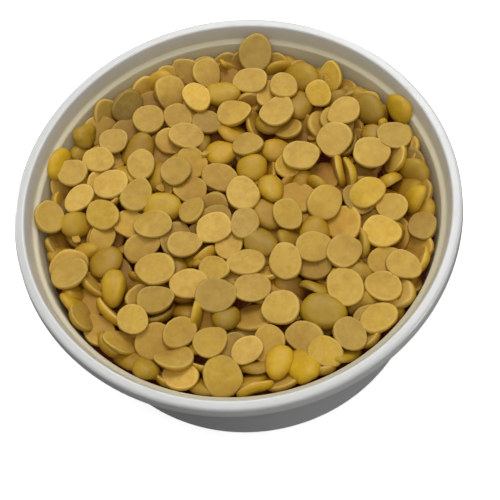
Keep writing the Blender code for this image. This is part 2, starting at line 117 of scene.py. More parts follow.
# Lentils that lie where they catch the eye, laid one by one on top of the poured ones.
# Place across and away, length, width, turn of the long side, lean of the upper face and
# the way that it looks, rise over the heap's limit, and which face is up. Millimetres, degrees.
PLACED = [
    (14, 51, 11.2, 9.6, 60, 30, 265, 1.2, "flat"),
    (48, 20.5, 9.6, 7.2, 115, 60, 204, 1.4, "dome"),
    (-51, 8, 9.8, 8.4, 77, 29, 350, 1.5, "flat"),
    (-45, 25, 10.4, 7.4, 60, 62, 330, 1.4, "dome"),
    (-43, 21, 8.8, 8.0, 0, 4, 270, 0.6, "flat"),
    (-20, 35, 9.3, 8.9, 20, 6, 300, 0.7, "flat"),
    (2, 39, 10.2, 7.6, -12, 4, 270, 0.6, "whole"),
    (15, 36, 9.8, 7.7, 72, 12, 10, 0.7, "flat"),
    (-24, 20, 9.6, 7.7, 70, 8, 320, 0.7, "flat"),
    (20, 13, 10.7, 9.0, -12, 3, 270, 0.8, "flat"),
    (-3, 12, 11.2, 8.0, -42, 7, 260, 0.9, "flat"),
    (6, 13, 9.0, 8.4, 40, 10, 250, 0.0, "dome"),
    (39, 10, 10.4, 9.0, -20, 6, 290, 0.6, "flat"),
    (29, 8, 10.2, 7.8, 82, 78, 185, 0.5, "flat"),
    (32, 6, 9.9, 7.6, 84, 76, 182, 0.5, "flat"),
    (-20, 6, 11.4, 8.6, -12, 4, 240, 0.6, "whole"),
    (-27, -5, 10.3, 8.0, 20, 10, 290, 0.7, "flat"),
    (-36, -16, 10.6, 6.6, 80, 10, 200, 0.6, "whole"),
    (-16, -19, 11.3, 8.4, -18, 5, 270, 0.8, "flat"),
    (10, -18, 11.0, 8.6, 84, 6, 200, 0.8, "flat"),
    (18, -15, 10.2, 8.7, -5, 8, 300, 0.2, "flat"),
    (17, -34, 12.3, 10.0, -28, 4, 270, 0.6, "whole"),
    (6, -31, 10.3, 9.2, -5, 5, 270, 0.7, "flat"),
    (9, -48, 10.6, 8.4, 110, 24, 120, 0.4, "whole"),
    (-4, -51, 10.0, 7.4, 12, 66, 100, 0.5, "flat"),
    (36, -23, 10.5, 8.6, -8, 5, 250, 0.7, "flat"),
    (31, -40, 10.2, 8.2, 10, 10, 130, 0.3, "flat"),
    (-8, -30, 8.0, 7.4, 30, 14, 60, 0.9, "dome"),
]

# A lentil's section, from the middle of its under side to the middle of its top,
# as shares of its half width and of its thickness
HALF_PROFILE = [
    (0.0, 0.04), (0.45, 0.03), (0.82, 0.0), (0.97, 0.14), (1.0, 0.3), (0.94, 0.56), (0.78, 0.8),
    (0.5, 0.95), (0.0, 1.0),
]
WHOLE_PROFILE = [
    (0.0, 0.0), (0.4, 0.04), (0.72, 0.16), (0.93, 0.33), (1.0, 0.5), (0.93, 0.67), (0.72, 0.84),
    (0.4, 0.96), (0.0, 1.0),
]

# The camera: the square picture and its focal length in pixels, the sensor and the distance in
# millimetres, the turns in degrees, and the near clip in metres
PICTURE_SIDE = 500
SENSOR = 36.0
FOCAL_PIXELS = 1279.78
CAMERA_HEIGHT_ANGLE = 59.44
CAMERA_DISTANCE = 340.0
CAMERA_ROLL = -10.63
CAMERA_PAN = -0.21
CAMERA_TILT = 2.38
CLIP_START = 0.01


def arc(centre, radius, start, end, points):
    """Points on an arc, from one angle to another, in degrees."""
    made = []
    for step in range(points):
        angle = math.radians(start + (end - start) * step / (points - 1))
        made.append((centre[0] + radius * math.cos(angle), centre[1] + radius * math.sin(angle)))
    return made


def inner_profile():
    """The tub's inside as radius and height, from the middle of its floor up to the mouth."""
    slope = math.tan(math.radians(BODY_TAPER))
    floor = FOOT_HEIGHT + WALL
    ledge_z = TUB_HEIGHT - LEDGE_DEPTH
    neck_foot = MOUTH_RADIUS - NECK_TAPER
    ledge_inner = neck_foot - LEDGE_WIDTH
    inner_round = BASE_ROUND - WALL
    wall_foot_z = floor + inner_round * (1 - math.sin(math.radians(BODY_TAPER)))
    wall_foot = ledge_inner - (ledge_z - LEDGE_DROP - wall_foot_z) * slope
    round_centre = (wall_foot - inner_round * math.cos(math.radians(BODY_TAPER)), floor + inner_round)
    corner = arc(round_centre, inner_round, -90, -BODY_TAPER, 4)
    mouth = (MOUTH_RADIUS, TUB_HEIGHT - LIP_INNER_ROUND)
    return [(0.0, floor)] + corner + [(ledge_inner, ledge_z - LEDGE_DROP), (neck_foot, ledge_z), mouth]


def tub_profile():
    """The whole wall's section: up the inside, over the lip and down the outside."""
    inside = inner_profile()
    lip_in_centre = (MOUTH_RADIUS + LIP_INNER_ROUND, TUB_HEIGHT - LIP_INNER_ROUND)
    lip_in = arc(lip_in_centre, LIP_INNER_ROUND, 180, 90, 5)[1:]
    lip_centre = (RIM_RADIUS - SKIRT_FLARE - LIP_ROUND, TUB_HEIGHT - LIP_ROUND)
    lip_out = arc(lip_centre, LIP_ROUND, 90, 0, 9)
    skirt_z = TUB_HEIGHT - SKIRT_DEPTH
    skirt = [(RIM_RADIUS, skirt_z), (RIM_RADIUS - SKIRT_WALL, skirt_z)]
    under = arc(lip_centre, LIP_ROUND - SKIRT_WALL, 0, 90, 5)

    neck_foot = (inside[-2][0] + WALL, inside[-2][1] - WALL)
    body_top = (inside[-3][0] + WALL, inside[-3][1] - WALL)
    round_centre = (inside[4][0] - (BASE_ROUND - WALL) * math.cos(math.radians(BODY_TAPER)), BASE_ROUND)
    corner = arc(round_centre, BASE_ROUND, -BODY_TAPER, -90, 9)
    foot = round_centre[0] - FOOT_WIDTH
    base = [(foot, 0.0), (foot - FOOT_HEIGHT, FOOT_HEIGHT), (0.0, FOOT_HEIGHT)]
    return inside + lip_in + lip_out + skirt + under + [neck_foot, body_top] + corner + base


def heap_top(radius):
    """The height that the lentils' tops may reach, a little more by the wall than in the middle."""
    edge = inner_profile()[-3][0]
    return TUB_HEIGHT - HEAP_EDGE_DEPTH - HEAP_DISH * (1 - (radius / edge) ** HEAP_DISH_POWER)


def clipped_normal(rng, mean, spread, low, high):
    """A normal draw, held between two limits."""
    return min(max(rng.normal(mean, spread), low), high)


def lentil_points(size, whole, rings, around, squeeze=SQUEEZE):
    """Points all over one lentil's skin, about its middle, in rings from its under side up."""
    length, width, thickness = (side * squeeze for side in size)
    profile = WHOLE_PROFILE if whole else HALF_PROFILE
    along = np.linspace(0, len(profile) - 1, rings)
    reach = 0.5 * np.interp(along, range(len(profile)), [r for r, _ in profile])
    height = np.interp(along, range(len(profile)), [h for _, h in profile]) - 0.5
    angle = math.tau * np.arange(around) / around
    x = length * reach[:, None] * np.cos(angle)
    y = width * reach[:, None] * np.sin(angle)
    z = np.repeat(height[:, None] * thickness, around, axis=1)
    return np.round(np.stack([x, y, z], axis=-1).reshape(-1, 3), 6)


def turn_about(axis, angle):
    """A rotation matrix, from an axis in the plane or upright and an angle."""
    c, s = math.cos(angle), math.sin(angle)
    x, y, z = axis
    d = 1 - c
    return np.array([
        [c + x * x * d, x * y * d - z * s, x * z * d + y * s],
        [y * x * d + z * s, c + y * y * d, y * z * d - x * s],
        [z * x * d - y * s, z * y * d + x * s, c + z * z * d],
    ])


def product(a, b):
    """Matrix product by plain sums, which come out alike on every machine."""
    return (a[..., :, :, None] * b[..., None, :, :]).sum(axis=-2)


def tub_rise(radius):
    """How high the tub's inside stands at a distance from its axis, with the gap to it."""
    inside = inner_profile()
    reach = [r for r, _ in inside[3:]]
    rise = [z for _, z in inside[3:]]
    return np.interp(radius + GAP, reach, rise, left=inside[0][1], right=NO_ENTRY)


class Bed:
    """The height of what lies in the tub, on a square grid, and which lentil shows there."""

    def __init__(self):
        count = int(2 * GRID_HALF / CELL) + 1
        line = np.linspace(-GRID_HALF, GRID_HALF, count)
        radius = np.hypot(line[:, None], line[None, :])
        floor = heap_top(np.minimum(radius, MOUTH_RADIUS)) - BED_DEPTH
        self.count = count
        self.height = np.maximum(tub_rise(radius + 0.5 * CELL), floor)
        self.owner = np.full((count, count), -1)

    def cells(self, points):
        index = np.rint((points[..., :2] + GRID_HALF) / CELL).astype(int)
        index = np.clip(index, 0, self.count - 1)
        return index[..., 0], index[..., 1]

    def rest_height(self, skin, places):
        """How high each placed skin's middle must be for the skin to clear the bed."""
        lifted = skin.copy()
        lifted[..., :2] += places[:, None, :]
        column, row = self.cells(lifted)
        return (self.height[column, row] - skin[..., 2]).max(axis=1)

    def crossing(self, skin):
        """How much of a skin would show through what lies there now, outside the deep hollows."""
        column, row = self.cells(skin)
        there = self.height[column, row]
        depth = heap_top(np.hypot(skin[:, 0], skin[:, 1])) - there
        return np.where(depth < HOLLOW_DEPTH, np.maximum(skin[:, 2] - there, 0.0), 0.0).sum()

    def add(self, number, lentil):
        """Raises the bed to a laid lentil's top, and marks the cells where it shows."""
        size, whole, lie, middle = lentil
        skin = product(lentil_points(size, whole, *LAID_RINGS), lie.T)
        column, row = self.cells(skin + middle)
        cell = column * self.count + row
        top = skin[:, 2] + middle[2]
        height = self.height.reshape(-1)
        np.maximum.at(height, cell, top)
        self.owner.reshape(-1)[cell[height[cell] == top]] = number


def random_lie(rng, standing):
    """A way up and a slant for a lentil as it falls."""
    spin = turn_about((0, 0, 1), rng.uniform(0, math.tau))
    slant = math.radians(rng.uniform(*STANDING_LEAN) if standing else abs(rng.normal(0, LEAN_SPREAD)))
    way = rng.uniform(0, math.tau)
    tilt = turn_about((math.cos(way), math.sin(way), 0), slant)
    flip = turn_about((1, 0, 0), math.pi if rng.random() < FLAT_UP_SHARE else 0.0)
    return product(tilt, product(spin, flip))


def off_the_wall(skins, places):
    """Places drawn towards the middle as far as their skins need to stay inside the wall."""
    reach = np.hypot(places[:, 0], places[:, 1])[:, None]
    out = (skins[..., :2] * (places / np.maximum(reach, 1.0))[:, None, :]).sum(axis=2).max(axis=1)
    room = inner_profile()[-3][0] - 2 * GAP - CELL - out
    return places * np.minimum(1.0, room / np.maximum(reach[:, 0], 1.0))[:, None]


def wall_lie(rng, place):
    """A way up and a slant for a lentil that leans back on the wall."""
    looks = math.atan2(-place[1], -place[0]) + math.radians(rng.normal(0, WALL_SKEW))
    axis = (math.cos(looks + math.pi / 2), math.sin(looks + math.pi / 2), 0)
    spin = turn_about((0, 0, 1), rng.uniform(0, math.tau))
    flip = turn_about((1, 0, 0), math.pi if rng.random() < FLAT_UP_SHARE else 0.0)
    return product(turn_about(axis, math.radians(rng.uniform(*WALL_LEAN))), product(spin, flip))


def drop(bed, rng, points, lie, place, limp):
    """Slides and tips a lentil by small trial moves, to where its middle is lowest."""
    best = bed.rest_height(product(points, lie.T)[None], place[None])[0]
    for step in range(MOVES):
        ease = 1.0 - MOVE_EASE * step / MOVES
        shifts = rng.normal(0, MOVE_REACH * ease, (MOVE_WAYS, 2))
        turns = rng.normal(0, math.radians(MOVE_TURN) * ease * limp, MOVE_WAYS)
        ways = rng.uniform(0, math.tau, MOVE_WAYS)
        axes = [(math.cos(way), math.sin(way), 0) for way in ways]
        lies = np.array([product(turn_about(axis, turn), lie) for axis, turn in zip(axes, turns)])
        skins = product(points[None], lies.transpose(0, 2, 1))
        heights = bed.rest_height(skins, place + shifts)
        n = int(np.argmin(np.round(heights, 6)))
        if heights[n] < best - 1e-6:
            best, lie, place = heights[n], lies[n], place + shifts[n]
    return best, lie, place


def lay(bed, laid, size, whole, lie, middle):
    """Adds a lentil, drawn in from the wall where it would touch the tub."""
    skin = product(lentil_points(size, whole, *LAID_RINGS, 1.0), lie.T)
    while True:
        radius = np.hypot(skin[:, 0] + middle[0], skin[:, 1] + middle[1])
        if (tub_rise(radius) - skin[:, 2]).max() <= middle[2]:
            break
        middle = middle * (DRAW_IN, DRAW_IN, 1.0)
    laid.append((size, whole, lie, middle))
    bed.add(len(laid) - 1, laid[-1])


def random_size(rng):
    """One lentil's length, width and thickness, and whether it is whole."""
    whole = rng.random() < WHOLE_SHARE
    length = clipped_normal(rng, *LENGTH) * (WHOLE_SHORTER if whole else 1.0)
    width = length * clipped_normal(rng, *WIDTH_RATIO)
    thickness = clipped_normal(rng, *(WHOLE_THICKNESS if whole else HALF_THICKNESS))
    return (length, width, thickness), whole


def pour(rng, bed, laid):
    """Drops lentils on the lowest of a few random places. What would end too high rolls off."""
    edge = inner_profile()[-3][0]
    for _ in range(LENTILS_POURED):
        size, whole = random_size(rng)
        standing = not whole and rng.random() < STANDING_SHARE
        points = lentil_points(size, whole, *TRIAL_RINGS)
        fallen = random_lie(rng, standing)
        lowest = None
        for _ in range(TRIES):
            reach = edge * math.sqrt(rng.random())
            way = rng.uniform(0, math.tau)
            place = np.array([reach * math.cos(way), reach * math.sin(way)])
            leans = reach > WALL_BAND and rng.random() < WALL_SHARE
            lie = wall_lie(rng, place) if leans else fallen
            skins = product(points, lie.T)[None]
            place = off_the_wall(skins, place[None])[0]
            height = bed.rest_height(skins, place[None])[0]
            over = height - heap_top(reach)
            if lowest is None or over < lowest[0]:
                lowest = (over, lie, place, leans)
        leans = lowest[3]
        limp = STANDING_LIMP if standing or leans else 1.0
        height, lie, place = drop(bed, rng, points, lowest[1], lowest[2], limp)
        skin = product(lentil_points(size, whole, *LAID_RINGS), lie.T)
        more = WALL_PROUD if leans else STANDING_PROUD if standing else -POUR_UNDER
        limit = heap_top(math.hypot(place[0], place[1])) + more
        proud = height + skin[:, 2].max() - limit
        if proud > PRESS:
            continue
        lay(bed, laid, size, whole, lie, np.array([place[0], place[1], height - max(proud, 0.0)]))


def relaid(laid):
    """The bed as it is with the lentils that are left."""
    bed = Bed()
    for number, lentil in enumerate(laid):
        if lentil:
            bed.add(number, lentil)
    return bed


def place_by_hand(bed, laid):
    """Lays the placed lentils, and takes away the poured ones that would hold them up too high."""
    poured = len(laid)
    for x, y, length, width, turn, lean, looks, rise, face in PLACED:
        whole = face == "whole"
        size = (length, width, (WHOLE_THICKNESS if whole else HALF_THICKNESS)[0])
        way = math.radians(looks + 90)
        flip = turn_about((1, 0, 0), math.pi if face == "flat" else 0.0)
        spin = turn_about((0, 0, 1), math.radians(turn))
        tilt = turn_about((math.cos(way), math.sin(way), 0), math.radians(lean))
        lie = product(tilt, product(spin, flip))
        skin = product(lentil_points(size, whole, *LAID_RINGS), lie.T)
        place = np.array([[x, y]])
        middle = np.array([x, y, heap_top(math.hypot(x, y)) + rise - skin[:, 2].max()])
        while True:
            column, row = bed.cells(skin + middle)
            over = np.round(bed.height[column, row] - skin[:, 2] - middle[2], 6)
            worst = int(np.argmax(over))
            owner = bed.owner[column[worst], row[worst]]
            if over[worst] <= PRESS or not 0 <= owner < poured:
                break
            laid[owner] = None
            bed = relaid(laid)
        middle[2] = min(middle[2], bed.rest_height(skin[None], place)[0] - TOUCH)
        lay(bed, laid, size, whole, lie, middle)
    return bed


def hollow_depths(bed, radius, inside):
    """How deep the heap lies under its limit, on the average round each cell."""
    half = HOLLOW_WINDOW // 2
    depth = np.where(inside, heap_top(radius) - bed.height, 0.0)
    total = np.zeros_like(depth)
    count = np.zeros_like(depth)
    for column in range(-half, half + 1):
        for row in range(-half, half + 1):
            total += np.roll(depth, (column, row), axis=(0, 1))
            count += np.roll(inside, (column, row), axis=(0, 1))
    return np.where(inside, np.round(total / np.maximum(count, 1), 6), 0.0)


def fill_hollows(rng, bed, laid):
    """Lets lentils drop into the hollows, and where none fits tucks one in under the others."""
    line = np.linspace(-GRID_HALF, GRID_HALF, bed.count)
    radius = np.hypot(line[:, None], line[None, :])
    inside = radius < inner_profile()[-3][0] - WALL_CLEARANCE
    for _ in range(FILLERS):
        mean = hollow_depths(bed, radius, inside)
        column, row = np.unravel_index(int(np.argmax(mean)), mean.shape)
        if mean[column, row] < HOLLOW_DEPTH:
            break
        size, whole = random_size(rng)
        points = lentil_points(size, whole, *TRIAL_RINGS)
        centre = np.array([line[column], line[row]])
        limit = heap_top(radius[column, row])
        leans = (radius[column, row] > WALL_BAND) & (rng.random(FILL_TRIES) < WALL_SHARE)
        lies = []
        for lean in leans:
            lies.append(wall_lie(rng, centre) if lean else random_lie(rng, rng.random() < FILL_STANDING))
        places = centre + rng.normal(0, FILL_REACH, (FILL_TRIES, 2))
        skins = product(points[None], np.array(lies).transpose(0, 2, 1))
        places = off_the_wall(skins, places)
        heights = bed.rest_height(skins, places)
        n = int(np.argmin(np.round(heights + skins[..., 2].max(axis=1), 6)))
        height, lie, place = drop(bed, rng, points, lies[n], places[n], FILL_LIMP)
        more = WALL_PROUD if leans[n] else FILL_PROUD
        top = height + product(points, lie.T)[:, 2].max()
        proud = top - heap_top(math.hypot(place[0], place[1])) - more
        if proud <= FILL_PRESS:
            lay(bed, laid, size, whole, lie, np.array([place[0], place[1], height - max(proud, 0.0)]))
            continue
        inside &= np.hypot(line[:, None] - centre[0], line[None, :] - centre[1]) > FILL_SPACING
        if mean[column, row] > FILL_DEPTH:
            middle = np.array([centre[0], centre[1], limit - FILL_DEPTH - FILL_SPREAD * rng.random()])
            crossing = [round(bed.crossing(skin + middle), 6) for skin in skins]
            n = int(np.argmin(crossing))
            middle[2] = min(middle[2], limit - skins[n][:, 2].max())
            lay(bed, laid, size, whole, lies[n], middle)


def settle():
    """All the lentils, each as size, whether whole, lie and middle, or None, then the bed that they
    make, and the number of the first placed one."""
    rng = np.random.default_rng(SEED)
    bed = Bed()
    laid = []
    pour(rng, bed, laid)
    placed_from = len(laid)
    bed = place_by_hand(bed, laid)
    fill_hollows(rng, bed, laid)
    return laid, bed, placed_from


# The cages of the modelled lentils. Each ring is its reach, its height from the flat side up,
# both as shares, how far it belongs to the flat face, how far to the rim, and its crispness.
AROUND = 12
ROUND_SWELL = 1.05
HALF_RINGS = [
    (0.50, 0.02, 1.0, 0.0, 0.0),
    (0.80, 0.02, 0.9, 0.0, 0.1),
    (0.94, 0.03, 0.6, 1.0, 0.3),
    (1.04, 0.27, 0.0, 0.1, 0.05),
    (0.93, 0.68, 0.0, 0.0, 0.0),
    (0.58, 1.0, 0.0, 0.0, 0.0),
]
WHOLE_RINGS = [
    (0.60, 0.0, 0.0, 0.0, 0.0),
    (0.92, 0.20, 0.0, 0.0, 0.0),
    (1.04, 0.50, 0.0, 0.2, 0.0),
    (0.92, 0.80, 0.0, 0.0, 0.0),
    (0.60, 1.0, 0.0, 0.0, 0.0),
]

# Shapes of a split lentil: how much wider one end is, how square the outline (2 is round), how
# hollow the flat face, how bowed along its length, how twisted, a nick in the edge, and a straight
# break as its direction in degrees and its distance from the middle (1 is no break).
SHAPE_WORDS = ("egg", "square", "cup", "bow", "twist", "nick", "break_way", "break_at")
HALF_SHAPES = [
    ("round", (0.03, 2.0, 0.10, 0.00, 0.02, 0.00, 0, 1.0)),
    ("oval", (0.09, 2.1, 0.13, 0.05, 0.03, 0.00, 0, 1.0)),
    ("egg", (0.18, 2.1, 0.11, 0.03, -0.05, 0.00, 0, 1.0)),
    ("blunt", (0.05, 2.5, 0.08, -0.04, 0.04, 0.00, 35, 0.47)),
    ("cupped", (0.07, 2.1, 0.38, 0.12, 0.00, 0.00, 0, 1.0)),
    ("bowed", (0.10, 2.2, 0.14, 0.24, 0.06, 0.00, 0, 1.0)),
    ("nicked", (0.06, 2.2, 0.12, 0.04, 0.00, 0.16, 0, 1.0)),
    ("chipped", (0.08, 2.1, 0.12, 0.00, 0.03, 0.05, 152, 0.36)),
    ("twisted", (0.12, 2.2, 0.18, 0.10, 0.18, 0.06, 0, 1.0)),
    ("heeled", (-0.14, 2.3, 0.10, -0.08, -0.07, 0.00, 200, 0.44)),
]
WHOLE_SHAPES = [
    ("plump", (0.08, 2.1, 0.0, 0.02, 0.00, 0.00, 0, 1.0)),
    ("bean", (0.14, 2.2, 0.0, 0.10, 0.02, 0.00, 0, 1.0)),
    ("squat", (-0.06, 2.4, 0.0, 0.00, 0.04, 0.05, 0, 1.0)),
]
NICK_WAY = 0.35
NICK_WIDTH = 0.32
CUP_REACH = 0.985
BOW_CURVE = 8.0
BOW_LOW = 0.5
TWIST_CURVE = 12.0
SHAPE_SEED = 41
CAGE_UNEVEN = 0.018

# A cage is about a unit box, so patterns read its points times this size in millimetres
MEAN_SIZE = (10.3, 8.4, 2.9)

# Looks: warmth is tan at 0 and saturated yellow at 1, shade is dark at 0 and pale at 1. Both have
# a mean and a spread. Each lentil takes the same number of draws, so one can change alone.
LOOK_SEED = 63
LOOK_DRAWS = 6
FACE_WARMTH = (0.30, 0.20)
DOME_WARMTH = (0.26, 0.20)
SHADE = (0.55, 0.18)
VIVID_SHARE = 0.04
VIVID_WARMTH = 0.95
PALE_SHARE = 0.10
PALE_WARMTH = 0.08
PALE_SHADE = 0.85
SHOWING_DEPTH = 5.5

# How often a cage is smoothed, how far the lumps move its skin in and out, in millimetres, how
# close they lie, and how deep the relief on a lentil's sides is as a share of that on its face
HALF_SMOOTHING = 1
WHOLE_SMOOTHING = 2
HALF_UNEVEN = 0.5
WHOLE_UNEVEN = 0.9
BIT_UNEVEN = 0.4
LUMP_SCALE = 0.32
HALF_SIDE_RELIEF = 0.35
WHOLE_SIDE_RELIEF = 0.2

# How far apart in the noise two lentils of unlike luck read their lumps and their marks
LUMP_LUCK = 97.0
MARK_LUCK = 53.0

# Broken bits that lie in the hollows. A pair is a lowest and a highest value. The width is a
# share of the length, and a bit's middle is its rise times its thickness above what it lies on.
BITS = 8
BIT_LENGTH = (3.0, 4.6)
BIT_WIDTH = (0.6, 0.9)
BIT_THICKNESS = (1.5, 2.3)
BIT_RISE = 0.2
BIT_WARMTH = (0.2, 0.9)
BIT_SHADE = (0.35, 0.85)
BIT_DEPTHS = (2.2, 4.4)
BIT_REACH = 50.0
BIT_SPACING = 7.0
BIT_SEED = 12
BIT_SHAPES = [
    ("wedge", (0.10, 2.2, 0.05, 0.0, 0.0, 0.0, 60, 0.18)),
    ("flake", (0.20, 2.3, 0.10, 0.1, 0.1, 0.2, 150, 0.20)),
    ("moon", (0.00, 2.1, 0.05, 0.0, 0.05, 0.0, 90, 0.08)),
]

# The middle of the heap, under the modelled lentils, dark with painted shade. Its foot stands a share of
# the gap up.
CORE_DEPTH = 6.6
CORE_SHARES = (0.0, 0.12, 0.25, 0.4, 0.55, 0.7, 0.82, 0.92, 1.0)
CORE_STEPS = 96
CORE_FOOT_RISE = 0.6

# Turned pieces: the most of a side that a soft corner takes, and how near two points are merged
CORNER_SHARE = 0.4
MERGE = 0.002

# How far across, away and up four placed lentils move to lean out onto the ledge, by their order
LEANS_OUT = {0: (0.3, 1.5, 1.9), 1: (1.5, 1.4, 1.2), 2: (-1.2, 0.0, 1.0), 3: (-1.4, -0.4, 0.8)}

# The looks of the placed lentils, in their order: shape, warmth and shade
PLACED_LOOKS = [
    ("oval", 0.20, 0.30), ("egg", 0.95, 0.55), ("oval", 0.35, 0.50), ("round", 1.00, 0.70),
    ("round", 0.30, 0.55), ("round", 0.25, 0.60), ("bean", 0.40, 0.60), ("blunt", 0.20, 0.80),
    ("oval", 0.30, 0.60), ("nicked", 0.30, 0.65), ("oval", 0.25, 0.62), ("round", 0.90, 0.55),
    ("blunt", 0.20, 0.72), ("bowed", 0.20, 0.85), ("egg", 0.95, 0.62), ("plump", 0.50, 0.62),
    ("egg", 0.35, 0.55), ("squat", 0.75, 0.55), ("oval", 0.05, 0.90), ("oval", 0.30, 0.60),
    ("round", 0.35, 0.60), ("plump", 0.35, 0.30), ("heeled", 0.40, 0.66), ("bean", 1.00, 0.70),
    ("bowed", 0.75, 0.66), ("nicked", 0.55, 0.60), ("oval", 0.60, 0.62), ("round", 0.60, 0.15),
]


def outline_reach(angle, words):
    """How far the outline stands from a lentil's middle in one direction, as a share of its half size."""
    square = words["square"]
    c, s = math.cos(angle), math.sin(angle)
    reach = (abs(c) ** square + abs(s) ** square) ** (-1.0 / square)
    away = math.atan2(math.sin(angle - NICK_WAY), math.cos(angle - NICK_WAY))
    reach *= 1.0 - words["nick"] * math.exp(-((away / NICK_WIDTH) ** 2))
    facing = math.cos(angle - math.radians(words["break_way"]))
    if words["break_at"] < 1.0 and facing > 0:
        reach = min(reach, 2.0 * words["break_at"] / facing)
    return reach


def cage(name, rings, shape):
    """A lentil's coarse cage in a unit box, flat side down, with what its material reads."""
    words = dict(zip(SHAPE_WORDS, shape))
    rng = np.random.default_rng([SHAPE_SEED, sum(name.encode())])
    shape_mesh = bmesh.new()
    flat = shape_mesh.verts.layers.float.new("flat")
    rim = shape_mesh.verts.layers.float.new("rim")
    local = shape_mesh.verts.layers.float_vector.new("local")
    crisp = shape_mesh.edges.layers.float.new("crisp")
    rows = []
    for reach, height, on_flat, on_rim, crispness in rings:
        row = []
        for step in range(AROUND):
            angle = math.tau * step / AROUND
            out = 0.5 * reach * ROUND_SWELL * outline_reach(angle, words)
            x, y = out * math.cos(angle), out * math.sin(angle)
            y *= 1.0 - words["egg"] * 2.0 * x
            z = height - 0.5
            if on_flat:
                z += words["cup"] * max(0.0, 1.0 - (reach / CUP_REACH) ** 2)
            vert = shape_mesh.verts.new((x, y, z))
            vert[local] = (x * MEAN_SIZE[0], y * MEAN_SIZE[1], z * MEAN_SIZE[2])
            vert.co += Vector(rng.normal(0, CAGE_UNEVEN, 3))
            vert.co.z += words["bow"] * (BOW_CURVE * x * x - BOW_LOW) + words["twist"] * TWIST_CURVE * x * y
            vert[flat], vert[rim] = on_flat, on_rim
            row.append(vert)
        rows.append((row, crispness))
    for (low, _), (high, _) in zip(rows, rows[1:]):
        for n in range(AROUND):
            m = (n + 1) % AROUND
            shape_mesh.faces.new((low[n], low[m], high[m], high[n]))
    shape_mesh.faces.new(list(reversed(rows[0][0])))
    shape_mesh.faces.new(rows[-1][0])
    for row, crispness in rows:
        for n in range(AROUND):
            edge = shape_mesh.edges.get((row[n], row[(n + 1) % AROUND]))
            edge[crisp] = crispness
    mesh = bpy.data.meshes.new(name)
    shape_mesh.to_mesh(mesh)
    shape_mesh.free()
    return mesh


def cage_collection(name, rings, shapes):
    """The cages of one kind as the unlinked collection that the node tree picks from, in order."""
    made = bpy.data.collections.new(name)
    for number, (word, shape) in enumerate(shapes):
        label = f"{name}_{number:02d}_{word}"
        made.objects.link(bpy.data.objects.new(label, cage(label, rings, shape)))
    return made


def add_node(tree, kind, **settings):
    """A node with its settings."""
    made = tree.nodes.new(kind)
    for name, value in settings.items():
        setattr(made, name, value)
    return made


def join(tree, *chain):
    """Links sockets in pairs: from, to, from, to."""
    for start, end in zip(chain[::2], chain[1::2]):
        tree.links.new(start, end)


def read_attribute(tree, name, kind):
    """A Named Attribute node's output for one stored value."""
    made = add_node(tree, "GeometryNodeInputNamedAttribute", data_type=kind)
    made.inputs["Name"].default_value = name
    return made.outputs["Attribute"]


